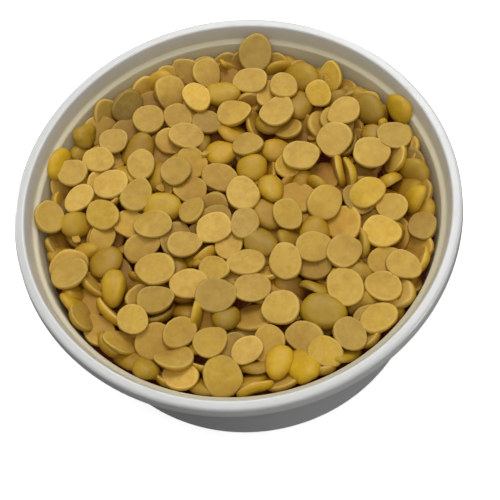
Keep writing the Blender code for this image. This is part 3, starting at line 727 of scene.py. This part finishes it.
def laying_tree():
    """Lays a modelled lentil on every point, smooths it, makes it uneven and gives it its finish."""
    tree = bpy.data.node_groups.new("lay lentils", "GeometryNodeTree")
    tree.is_modifier = True
    face = tree.interface
    face.new_socket("Places", in_out="INPUT", socket_type="NodeSocketGeometry")
    face.new_socket("Cages", in_out="INPUT", socket_type="NodeSocketCollection")
    face.new_socket("Smoothing", in_out="INPUT", socket_type="NodeSocketInt")
    face.new_socket("Unevenness", in_out="INPUT", socket_type="NodeSocketFloat")
    face.new_socket("Lump scale", in_out="INPUT", socket_type="NodeSocketFloat")
    face.new_socket("Finish", in_out="INPUT", socket_type="NodeSocketMaterial")
    face.new_socket("Lentils", in_out="OUTPUT", socket_type="NodeSocketGeometry")
    given = add_node(tree, "NodeGroupInput")
    result = add_node(tree, "NodeGroupOutput")

    cages = add_node(tree, "GeometryNodeCollectionInfo", transform_space="ORIGINAL")
    cages.inputs["Separate Children"].default_value = True
    cages.inputs["Reset Children"].default_value = True
    laid = add_node(tree, "GeometryNodeInstanceOnPoints")
    laid.inputs["Pick Instance"].default_value = True
    join(
        tree,
        given.outputs["Cages"], cages.inputs["Collection"],
        given.outputs["Places"], laid.inputs["Points"],
        cages.outputs["Instances"], laid.inputs["Instance"],
        read_attribute(tree, "shape", "INT"), laid.inputs["Instance Index"],
        read_attribute(tree, "lie", "QUATERNION"), laid.inputs["Rotation"],
        read_attribute(tree, "size", "FLOAT_VECTOR"), laid.inputs["Scale"],
    )

    real = add_node(tree, "GeometryNodeRealizeInstances")
    smooth = add_node(tree, "GeometryNodeSubdivisionSurface")
    join(
        tree,
        laid.outputs["Instances"], real.inputs["Geometry"],
        real.outputs["Geometry"], smooth.inputs["Mesh"],
        given.outputs["Smoothing"], smooth.inputs["Level"],
        read_attribute(tree, "crisp", "FLOAT"), smooth.inputs["Edge Crease"],
    )

    spread = add_node(tree, "ShaderNodeMath", operation="MULTIPLY")
    spread.inputs[1].default_value = LUMP_LUCK
    noise = add_node(tree, "ShaderNodeTexNoise", noise_dimensions="4D")
    noise.inputs["Detail"].default_value = 1.0
    middle = add_node(tree, "ShaderNodeMath", operation="SUBTRACT")
    middle.inputs[1].default_value = 0.5
    height = add_node(tree, "ShaderNodeMath", operation="MULTIPLY")
    away = add_node(tree, "ShaderNodeVectorMath", operation="SCALE")
    normal = add_node(tree, "GeometryNodeInputNormal")
    moved = add_node(tree, "GeometryNodeSetPosition")
    join(
        tree,
        read_attribute(tree, "luck", "FLOAT"), spread.inputs[0],
        read_attribute(tree, "local", "FLOAT_VECTOR"), noise.inputs["Vector"],
        spread.outputs[0], noise.inputs["W"],
        given.outputs["Lump scale"], noise.inputs["Scale"],
        noise.outputs["Fac"], middle.inputs[0],
        middle.outputs[0], height.inputs[0],
        given.outputs["Unevenness"], height.inputs[1],
        normal.outputs["Normal"], away.inputs[0],
        height.outputs[0], away.inputs["Scale"],
        smooth.outputs["Mesh"], moved.inputs["Geometry"],
        away.outputs["Vector"], moved.inputs["Offset"],
    )

    shaded = add_node(tree, "GeometryNodeSetShadeSmooth")
    finish = add_node(tree, "GeometryNodeSetMaterial")
    join(
        tree,
        moved.outputs["Geometry"], shaded.inputs["Geometry"],
        shaded.outputs["Geometry"], finish.inputs["Geometry"],
        given.outputs["Finish"], finish.inputs["Material"],
        finish.outputs["Geometry"], result.inputs["Lentils"],
    )
    return tree


def set_inputs(modifier, values):
    """Sets a node modifier's named inputs, by each socket's identifier."""
    for item in modifier.node_group.interface.items_tree:
        if item.item_type == "SOCKET" and item.in_out == "INPUT" and item.name in values:
            modifier[item.identifier] = values[item.name]


def plain_mesh(made):
    """Replaces an object's mesh by its evaluated one and takes its modifiers away."""
    bpy.context.view_layer.update()
    made.data = bpy.data.meshes.new_from_object(made.evaluated_get(bpy.context.evaluated_depsgraph_get()))
    made.modifiers.clear()


def lentil_piece(name, tree, cages, rows, smoothing, unevenness, finish):
    """All lentils of one kind as one piece. A row is a lentil's middle, lie, size, shape and looks."""
    mesh = bpy.data.meshes.new(name)
    mesh.from_pydata([tuple(row["middle"] * MM) for row in rows], [], [])
    lies = [Matrix(row["lie"].tolist()).to_quaternion() for row in rows]
    stored = {
        "lie": ("QUATERNION", "value", [value for lie in lies for value in lie]),
        "size": ("FLOAT_VECTOR", "vector", [side * MM for row in rows for side in row["size"]]),
        "shape": ("INT", "value", [row["shape"] for row in rows]),
        "warmth": ("FLOAT", "value", [row["warmth"] for row in rows]),
        "shade": ("FLOAT", "value", [row["shade"] for row in rows]),
        "luck": ("FLOAT", "value", [row["luck"] for row in rows]),
    }
    for label, (kind, field, values) in stored.items():
        mesh.attributes.new(label, kind, "POINT").data.foreach_set(field, values)
    made = bpy.data.objects.new(name, mesh)
    bpy.context.scene.collection.objects.link(made)
    modifier = made.modifiers.new("lay", "NODES")
    modifier.node_group = tree
    set_inputs(modifier, {
        "Cages": cages, "Smoothing": smoothing, "Unevenness": unevenness * MM,
        "Lump scale": LUMP_SCALE, "Finish": finish,
    })
    plain_mesh(made)
    for label in ("lie", "size", "shape", "crisp"):
        left = made.data.attributes.get(label)
        if left:
            made.data.attributes.remove(left)
    return made


def lentil_rows():
    """What every lentil that shows looks like, by kind."""
    laid, bed, placed_from = settle()
    shown = np.bincount(bed.owner[bed.owner >= 0], minlength=len(laid))
    rng = np.random.default_rng(LOOK_SEED)
    half_words = [word for word, _ in HALF_SHAPES]
    whole_words = [word for word, _ in WHOLE_SHAPES]
    rows = {"half": [], "whole": []}
    for number, lentil in enumerate(laid):
        draws = rng.random(LOOK_DRAWS)
        tone = rng.normal(0, 1, 2)
        if lentil is None:
            continue
        size, whole, lie, middle = lentil
        if shown[number] == 0 and middle[2] < heap_top(math.hypot(middle[0], middle[1])) - SHOWING_DEPTH:
            continue
        words = whole_words if whole else half_words
        flat_up = lie[2, 2] < 0 and not whole
        mean, spread = FACE_WARMTH if flat_up else DOME_WARMTH
        warmth = mean + spread * tone[0]
        shade = SHADE[0] + SHADE[1] * tone[1]
        if draws[0] < VIVID_SHARE:
            warmth = VIVID_WARMTH
        elif draws[0] > 1.0 - PALE_SHARE:
            warmth, shade = PALE_WARMTH, PALE_SHADE
        shape = int(draws[1] * len(words))
        placed = number - placed_from
        if 0 <= placed < len(PLACED):
            word, warmth, shade = PLACED_LOOKS[placed]
            shape = words.index(word)
            middle = middle + LEANS_OUT.get(placed, (0.0, 0.0, 0.0))
        rows["whole" if whole else "half"].append({
            "middle": middle, "lie": lie, "size": size, "shape": shape,
            "warmth": min(max(warmth, 0.0), 1.0), "shade": min(max(shade, 0.0), 1.0), "luck": draws[2],
        })
    return rows, bed


def softened(profile, reach, points):
    """A section with its corners rounded over a short reach, by quadratic curves."""
    made = [profile[0]]
    for before, corner, after in zip(profile, profile[1:], profile[2:]):
        corner = Vector(corner)
        back, on = Vector(before) - corner, Vector(after) - corner
        start = corner + back.normalized() * min(reach, CORNER_SHARE * back.length)
        end = corner + on.normalized() * min(reach, CORNER_SHARE * on.length)
        for step in range(points):
            t = step / (points - 1)
            made.append(tuple(start * (1 - t) ** 2 + corner * 2 * t * (1 - t) + end * t * t))
    made.append(profile[-1])
    return made


def turned(name, profile, steps):
    """A solid of revolution from a section of radius and height, as a smooth closed mesh."""
    shape = bmesh.new()
    verts = [shape.verts.new((radius * MM, 0.0, height * MM)) for radius, height in profile]
    edges = [shape.edges.new(pair) for pair in zip(verts, verts[1:])]
    bmesh.ops.spin(
        shape, geom=verts + edges, cent=(0, 0, 0), axis=(0, 0, 1), angle=math.tau, steps=steps,
        use_merge=True,
    )
    bmesh.ops.remove_doubles(shape, verts=shape.verts, dist=MERGE * MM)
    bmesh.ops.recalc_face_normals(shape, faces=shape.faces)
    for face in shape.faces:
        face.smooth = True
    mesh = bpy.data.meshes.new(name)
    shape.to_mesh(mesh)
    shape.free()
    made = bpy.data.objects.new(name, mesh)
    bpy.context.scene.collection.objects.link(made)
    return made


def core_profile():
    """The middle of the filling, just inside the tub: its low top, then its side and foot."""
    inside = inner_profile()
    foot, ledge = inside[4], inside[5]
    edge_z = heap_top(ledge[0]) - CORE_DEPTH
    edge = foot[0] + (ledge[0] - foot[0]) * (edge_z - foot[1]) / (ledge[1] - foot[1]) - GAP
    section = []
    for share in CORE_SHARES:
        section.append((edge * share, heap_top(edge * share) - CORE_DEPTH))
    for radius, height in reversed(inside[1:5]):
        section.append((radius - GAP, height + GAP * CORE_FOOT_RISE))
    section.append((0.0, inside[0][1] + GAP))
    return section


def between(limits, share):
    """A value part of the way from the lower of two limits to the higher."""
    low, high = limits
    return low + (high - low) * share


def bit_rows(bed):
    """Broken bits, each on what lies below it in a hollow between the lentils."""
    rng = np.random.default_rng(BIT_SEED)
    rows = []
    while len(rows) < BITS:
        way = rng.uniform(0, math.tau)
        reach = BIT_REACH * math.sqrt(rng.random())
        place = np.array([reach * math.cos(way), reach * math.sin(way)])
        column, row = bed.cells(place)
        depth = heap_top(reach) - bed.height[column, row]
        draws = rng.random(LOOK_DRAWS)
        if not BIT_DEPTHS[0] < depth < BIT_DEPTHS[1]:
            continue
        if any(math.dist(place, other["middle"][:2]) < BIT_SPACING for other in rows):
            continue
        length = between(BIT_LENGTH, draws[0])
        size = (length, length * between(BIT_WIDTH, draws[1]), between(BIT_THICKNESS, draws[2]))
        rows.append({
            "middle": np.array([place[0], place[1], bed.height[column, row] + BIT_RISE * size[2]]),
            "lie": random_lie(rng, False), "size": size, "shape": int(draws[3] * len(BIT_SHAPES)),
            "warmth": between(BIT_WARMTH, draws[4]), "shade": between(BIT_SHADE, draws[5]),
            "luck": draws[1],
        })
    return rows


def rgb(red, green, blue):
    """A linear colour from screen values up to 255."""
    return tuple(((c / 255 + 0.055) / 1.055) ** 2.4 for c in (red, green, blue)) + (1.0,)


# Colours of the lentils
TAN = rgb(199, 161, 72)
FACE_YELLOW = rgb(204, 163, 34)
SIDE_OCHRE = rgb(190, 151, 32)
SIDE_VIVID = rgb(204, 162, 16)
RIM_CREAM = rgb(230, 198, 116)
SPECK_BROWN = rgb(150, 104, 40)
# The heap's middle: painted shade, dark red-brown deep between the lentils
CORE_SHADE_DARK = rgb(84, 22, 7)
CORE_SHADE_LIGHT = rgb(116, 48, 13)

# Painted shade: lentils grow darker and redder further down, where shade falls between them, by
# way of the first tint and then the second, between these heights in metres
MID_PAINTED_SHADE = rgb(200, 178, 104)
DEEP_PAINTED_SHADE = rgb(190, 108, 52)
PAINTED_SHADE_FROM = 0.0428
PAINTED_SHADE_MID = 0.0388
PAINTED_SHADE_TO = 0.0356

# The tub's colours, and how its plastic lets light in: how far in millimetres, how much, and how
# much of that distance for red, green and blue
PLASTIC = rgb(208, 209, 207)
PLASTIC_SHADE = rgb(199, 200, 197)
GLOW_DEPTH = 3.0
GLOW_SHARE = 0.5
GLOW_SPREAD = (1.0, 0.95, 0.85)

# Inside the tub, the filling's light warms the wall more from one height down to the other. A
# place is inside where it is within one of these distances from the axis and above the height
# that goes with it. All are in metres.
INNER_TINT = rgb(245, 232, 200)
INNER_FROM = 0.0474
INNER_TO = 0.0436
INNER_PLACES = [(0.0570, 0.0431), (0.0545, 0.0400), (0.0538, 0.0350)]

# The floor, the sky and the lamps. The sky grows brighter between two heights of a unit sphere.
# A lamp is its name, place, side and power, and all look at one point of the heap.
FLOOR_HALF = 8.0
FLOOR_GAP = 0.0002
FLOOR_WHITE = rgb(253, 253, 253)
FLOOR_GLOW = 0.6
SKY_WHITE = (1.0, 1.0, 1.0, 1.0)
SKY_FROM = 0.05
SKY_TO = 0.75
SKY_LOW = 0.09
SKY_HIGH = 0.36
LIGHTS = [
    ("key", (0.08, 0.38, 0.64), 0.34, 2.8),
    ("fill", (0.0, -0.34, 0.74), 0.5, 2.2),
    ("low right", (0.20, 0.46, 0.03), 0.05, 0.8),
    ("low left", (-0.40, 0.30, 0.03), 0.05, 0.8),
    ("low front", (0.38, -0.22, 0.03), 0.05, 0.35),
]
LIGHTS_LOOK_AT = (0.0, 0.0, 0.04)

# Sockets of a Map Range node, and of a Mix node where it mixes colours
RANGE_SOCKETS = ("From Min", "From Max", "To Min", "To Max")
COLOUR_MIX_INPUTS = (0, 6, 7)
COLOUR_MIX_OUTPUT = 2


class Finish:
    """A Principled material and short ways to add the nodes that feed it."""

    def __init__(self, name, roughness, specular=0.5):
        self.material = bpy.data.materials.new(name)
        self.material.use_nodes = True
        self.tree = self.material.node_tree
        self.shader = self.tree.nodes["Principled BSDF"]
        self.shader.inputs["Roughness"].default_value = roughness
        self.shader.inputs["Specular IOR Level"].default_value = specular

    def place(self):
        """A place on the object, in metres."""
        return add_node(self.tree, "ShaderNodeTexCoord").outputs["Object"]

    def height(self):
        """How high a place on the object is, in metres."""
        made = add_node(self.tree, "ShaderNodeSeparateXYZ")
        self.tree.links.new(self.place(), made.inputs[0])
        return made.outputs["Z"]

    def reach(self):
        """How far a place on the object is from its upright axis, in metres."""
        made = add_node(self.tree, "ShaderNodeVectorMath", operation="LENGTH")
        self.tree.links.new(self.stretched(self.place(), (1.0, 1.0, 0.0)), made.inputs[0])
        return made.outputs["Value"]

    def stored(self, name, output="Fac"):
        """A value that the mesh holds."""
        return add_node(self.tree, "ShaderNodeAttribute", attribute_name=name).outputs[output]

    def stretched(self, vector, scale):
        """A place times a scale for each direction."""
        made = add_node(self.tree, "ShaderNodeMapping")
        made.inputs["Scale"].default_value = scale
        self.tree.links.new(vector, made.inputs["Vector"])
        return made.outputs["Vector"]

    def noise(self, vector, scale, detail=2.0, roughness=0.5, luck=None):
        """Soft noise, read elsewhere for each luck where there is one."""
        made = add_node(self.tree, "ShaderNodeTexNoise", noise_dimensions="4D" if luck else "3D")
        made.inputs["Scale"].default_value = scale
        made.inputs["Detail"].default_value = detail
        made.inputs["Roughness"].default_value = roughness
        self.tree.links.new(vector, made.inputs["Vector"])
        if luck:
            self.tree.links.new(luck, made.inputs["W"])
        return made.outputs["Fac"]

    def spread(self, value, low, high, to_low=0.0, to_high=1.0):
        """A value's stretch from low to high as another stretch, held at its ends."""
        made = add_node(self.tree, "ShaderNodeMapRange")
        for name, number in zip(RANGE_SOCKETS, (low, high, to_low, to_high)):
            made.inputs[name].default_value = number
        self.tree.links.new(value, made.inputs["Value"])
        return made.outputs["Result"]

    def reckon(self, operation, first, second):
        """Two values by one operation, each a number or an output."""
        made = add_node(self.tree, "ShaderNodeMath", operation=operation)
        for socket, value in zip(made.inputs, (first, second)):
            if isinstance(value, (int, float)):
                socket.default_value = value
            else:
                self.tree.links.new(value, socket)
        return made.outputs[0]

    def blend(self, factor, first, second, blend_type="MIX"):
        """Two colours blended, each a colour or an output."""
        made = add_node(self.tree, "ShaderNodeMix", data_type="RGBA", blend_type=blend_type)
        for index, value in zip(COLOUR_MIX_INPUTS, (factor, first, second)):
            if isinstance(value, (int, float, tuple)):
                made.inputs[index].default_value = value
            else:
                self.tree.links.new(value, made.inputs[index])
        return made.outputs[COLOUR_MIX_OUTPUT]

    def tone(self, value):
        """A grey of one brightness, for a brightness that changes from place to place."""
        made = add_node(self.tree, "ShaderNodeCombineColor")
        for socket in made.inputs:
            self.tree.links.new(value, socket)
        return made.outputs[0]

    def bump(self, height, distance, strength=1.0, under=None):
        """A normal that makes a height look like relief, on top of other relief."""
        made = add_node(self.tree, "ShaderNodeBump")
        made.inputs["Distance"].default_value = distance
        made.inputs["Strength"].default_value = strength
        self.tree.links.new(height, made.inputs["Height"])
        if under:
            self.tree.links.new(under, made.inputs["Normal"])
        return made.outputs["Normal"]

    def wear(self, colour=None, roughness=None, normal=None):
        """Links what the nodes made to the shader and gives the material."""
        for name, socket in (("Base Color", colour), ("Roughness", roughness), ("Normal", normal)):
            if socket:
                self.tree.links.new(socket, self.shader.inputs[name])
        return self.material


def lentil_finish(name, side_relief):
    """Skin of a lentil: a matte tan flat face with a pale rim, yellower, smoother sides, and painted shade
    low in the heap.
    """
    finish = Finish(name, roughness=0.55, specular=0.38)
    local = finish.stored("local", "Vector")
    luck = finish.reckon("MULTIPLY", finish.stored("luck"), MARK_LUCK)
    flat, rim = finish.stored("flat"), finish.stored("rim")
    warmth, shade = finish.stored("warmth"), finish.stored("shade")

    face = finish.blend(warmth, TAN, FACE_YELLOW)
    side = finish.blend(warmth, SIDE_OCHRE, SIDE_VIVID)
    colour = finish.blend(flat, side, face)
    patches = finish.noise(local, scale=0.42, detail=3.0, roughness=0.6, luck=luck)
    patches = finish.reckon("MULTIPLY", finish.spread(patches, 0.38, 0.72), 0.35)
    colour = finish.blend(patches, colour, SPECK_BROWN)
    specks = finish.noise(local, scale=2.6, detail=2.0, roughness=0.7, luck=luck)
    specks = finish.reckon("MULTIPLY", finish.spread(specks, 0.62, 0.74), 0.16)
    colour = finish.blend(specks, colour, SPECK_BROWN)
    dust = finish.noise(local, scale=0.6, detail=3.0, roughness=0.6, luck=luck)
    dust = finish.reckon("MULTIPLY", finish.spread(dust, 0.45, 0.7), flat)
    colour = finish.blend(finish.reckon("MULTIPLY", dust, 0.2), colour, RIM_CREAM)
    edge = finish.reckon("MULTIPLY", finish.reckon("POWER", rim, 2.0), 0.5)
    colour = finish.blend(edge, colour, RIM_CREAM)
    tone = finish.spread(shade, 0.0, 1.0, to_low=0.50, to_high=1.22)
    colour = finish.blend(1.0, colour, finish.tone(tone), "MULTIPLY")
    height = finish.height()
    # Painted shade: darker, then darker and redder, the lower a place lies in the heap
    colour = finish.blend(finish.spread(height, PAINTED_SHADE_FROM, PAINTED_SHADE_MID), colour, MID_PAINTED_SHADE, "MULTIPLY")
    colour = finish.blend(finish.spread(height, PAINTED_SHADE_MID, PAINTED_SHADE_TO), colour, DEEP_PAINTED_SHADE, "MULTIPLY")

    depth = finish.spread(flat, 0.0, 1.0, to_low=side_relief, to_high=1.0)
    wrinkled = finish.stretched(local, (0.6, 1.1, 0.8))
    creases = finish.noise(wrinkled, scale=0.5, detail=2.0, roughness=0.5, luck=luck)
    relief = finish.bump(finish.reckon("MULTIPLY", creases, depth), distance=0.3 * MM, strength=0.6)
    grain = finish.noise(local, scale=2.8, detail=3.0, roughness=0.6, luck=luck)
    grain = finish.reckon("MULTIPLY", grain, depth)
    relief = finish.bump(grain, distance=0.05 * MM, strength=0.6, under=relief)
    roughness = finish.spread(flat, 0.0, 1.0, to_low=0.52, to_high=0.66)
    return finish.wear(colour, roughness, relief)


def core_finish():
    """Dark red-brown shade deep between the lentils, lighter where a hull would catch light."""
    finish = Finish("shaded lentils", roughness=0.8, specular=0.2)
    place = finish.place()
    lumps = finish.spread(finish.noise(place, scale=150.0), 0.42, 0.62)
    relief = finish.bump(finish.noise(place, scale=900.0, detail=3.0), distance=0.3 * MM)
    return finish.wear(finish.blend(lumps, CORE_SHADE_DARK, CORE_SHADE_LIGHT), normal=relief)


def inside_the_tub(finish, height):
    """1 where a place is inside the tub's wall and 0 where it is outside."""
    inside = 0.0
    for reach, low in INNER_PLACES:
        within = finish.reckon("LESS_THAN", finish.reach(), reach)
        above = finish.reckon("GREATER_THAN", height, low)
        inside = finish.reckon("MAXIMUM", inside, finish.reckon("MULTIPLY", within, above))
    return inside


def plastic_finish():
    """White plastic with faint turning lines and rubbed marks, warmer inside from the filling's light."""
    finish = Finish("white plastic", roughness=0.34)
    finish.shader.inputs["Subsurface Weight"].default_value = GLOW_SHARE
    finish.shader.inputs["Subsurface Scale"].default_value = GLOW_DEPTH * MM
    finish.shader.inputs["Subsurface Radius"].default_value = GLOW_SPREAD
    place = finish.place()
    height = finish.height()
    clouds = finish.spread(finish.noise(place, scale=22.0, detail=3.0), 0.3, 0.7)
    colour = finish.blend(clouds, PLASTIC, PLASTIC_SHADE)
    warmed = finish.spread(height, INNER_FROM, INNER_TO)
    warmed = finish.reckon("MULTIPLY", inside_the_tub(finish, height), warmed)
    colour = finish.blend(warmed, colour, INNER_TINT, "MULTIPLY")

    streaked = finish.stretched(place, (1.0, 1.0, 9.0))
    rubbed = finish.noise(streaked, scale=260.0, detail=4.0, roughness=0.7)
    rubbed = finish.spread(rubbed, 0.58, 0.74)
    roughness = finish.spread(rubbed, 0.0, 1.0, to_low=0.30, to_high=0.52)
    relief = finish.bump(finish.noise(place, scale=38.0), distance=0.5 * MM, strength=0.25)
    lines = finish.noise(finish.stretched(place, (0.02, 0.02, 1.0)), scale=900.0)
    relief = finish.bump(lines, distance=0.03 * MM, strength=0.4, under=relief)
    relief = finish.bump(rubbed, distance=0.02 * MM, strength=0.5, under=relief)
    return finish.wear(colour, roughness, relief)


def make_tub():
    """The tub's wall, turned from the frame's section with softened edges."""
    profile = softened(tub_profile(), EDGE_SOFTNESS, SOFT_POINTS)
    made = turned("tub_wall", profile, TUB_STEPS)
    made.data.materials.append(plastic_finish())
    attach(made, "root")
    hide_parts("tub")


def make_core():
    """The middle of the heap, dark with painted shade."""
    made = turned("lentil_core", core_profile(), CORE_STEPS)
    made.data.materials.append(core_finish())
    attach(made, "root")
    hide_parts("lentils")


def make_lentils():
    """The lentils that show, one piece for each kind."""
    tree = laying_tree()
    rows, bed = lentil_rows()
    skin = lentil_finish("split lentil skin", HALF_SIDE_RELIEF)
    whole_skin = lentil_finish("whole lentil skin", WHOLE_SIDE_RELIEF)
    halves, whole, bits = rows["half"], rows["whole"], bit_rows(bed)
    kinds = [
        ("lentil_halves", HALF_RINGS, HALF_SHAPES, halves, HALF_SMOOTHING, HALF_UNEVEN, skin),
        ("lentils_whole", WHOLE_RINGS, WHOLE_SHAPES, whole, WHOLE_SMOOTHING, WHOLE_UNEVEN, whole_skin),
        ("lentil_bits", HALF_RINGS, BIT_SHAPES, bits, HALF_SMOOTHING, BIT_UNEVEN, skin),
    ]
    for name, rings, shapes, laid, smoothing, unevenness, finish in kinds:
        cages = cage_collection(name + "_cage", rings, shapes)
        made = lentil_piece(name, tree, cages, laid, smoothing, unevenness, finish)
        triangles = sum(len(face.vertices) - 2 for face in made.data.polygons)
        print(name, len(laid), "laid,", triangles, "triangles")
        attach(made, "root")
        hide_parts("lentils")


def make_stage():
    """A pale floor under the tub, two large lamps above, three small low ones and a dim sky."""
    shape = bmesh.new()
    bmesh.ops.create_grid(shape, x_segments=1, y_segments=1, size=FLOOR_HALF)
    mesh = bpy.data.meshes.new("floor")
    shape.to_mesh(mesh)
    shape.free()
    floor = bpy.data.objects.new("floor", mesh)
    floor.location.z = -FLOOR_GAP
    bpy.context.scene.collection.objects.link(floor)
    finish = Finish("pale floor", roughness=0.9, specular=0.1)
    finish.shader.inputs["Base Color"].default_value = FLOOR_WHITE
    finish.shader.inputs["Emission Color"].default_value = FLOOR_WHITE
    finish.shader.inputs["Emission Strength"].default_value = FLOOR_GLOW
    floor.data.materials.append(finish.material)
    floor.visible_diffuse = False
    floor.visible_glossy = False

    for name, place, side, power in LIGHTS:
        lamp = bpy.data.lights.new(name, "AREA")
        lamp.shape = "SQUARE"
        lamp.size = side
        lamp.energy = power
        made = bpy.data.objects.new(name, lamp)
        made.location = place
        made.rotation_mode = "QUATERNION"
        look = Vector(LIGHTS_LOOK_AT) - Vector(place)
        made.rotation_quaternion = look.to_track_quat("-Z", "Y")
        bpy.context.scene.collection.objects.link(made)

    world = bpy.data.worlds.new("studio")
    world.use_nodes = True
    tree = world.node_tree
    sky = tree.nodes["Background"]
    sky.inputs["Color"].default_value = SKY_WHITE
    way = add_node(tree, "ShaderNodeTexCoord")
    split = add_node(tree, "ShaderNodeSeparateXYZ")
    rise = add_node(tree, "ShaderNodeMapRange")
    for name, value in zip(RANGE_SOCKETS, (SKY_FROM, SKY_TO, SKY_LOW, SKY_HIGH)):
        rise.inputs[name].default_value = value
    join(
        tree,
        way.outputs["Generated"], split.inputs[0],
        split.outputs["Z"], rise.inputs["Value"],
        rise.outputs["Result"], sky.inputs["Strength"],
    )
    bpy.context.scene.world = world
    bpy.context.scene.view_settings.view_transform = "Standard"


def turned_pair(first, second, degrees):
    """Two axes turned in their own plane."""
    angle = math.radians(degrees)
    c, s = math.cos(angle), math.sin(angle)
    return first * c + second * s, second * c - first * s


def make_camera():
    """The photo's view: above and in front of the rim, then panned, tilted and rolled."""
    lift = math.radians(CAMERA_HEIGHT_ANGLE)
    back = Vector((0, -math.cos(lift), math.sin(lift)))
    right = Vector((1, 0, 0))
    up, ahead = back.cross(right), -back
    right, ahead = turned_pair(right, ahead, CAMERA_PAN)
    up, ahead = turned_pair(up, ahead, CAMERA_TILT)
    right, up = turned_pair(right, up, CAMERA_ROLL)
    lens = bpy.data.cameras.new("camera")
    lens.sensor_width = SENSOR
    lens.lens = FOCAL_PIXELS * SENSOR / PICTURE_SIDE
    lens.clip_start = CLIP_START
    made = bpy.data.objects.new("camera", lens)
    bpy.context.scene.collection.objects.link(made)
    place = Matrix((right, up, -ahead)).transposed().to_4x4()
    place.translation = Vector((0, 0, TUB_HEIGHT * MM)) + back * CAMERA_DISTANCE * MM
    made.matrix_world = place
    bpy.context.scene.camera = made


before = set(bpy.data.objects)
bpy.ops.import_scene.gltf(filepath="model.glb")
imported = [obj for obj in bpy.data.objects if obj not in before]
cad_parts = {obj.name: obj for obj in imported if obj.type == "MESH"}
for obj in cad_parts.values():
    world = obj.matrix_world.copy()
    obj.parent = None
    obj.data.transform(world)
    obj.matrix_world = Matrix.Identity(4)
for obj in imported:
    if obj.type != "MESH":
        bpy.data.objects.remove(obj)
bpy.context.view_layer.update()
make_camera()
make_stage()
make_tub()
make_core()
make_lentils()
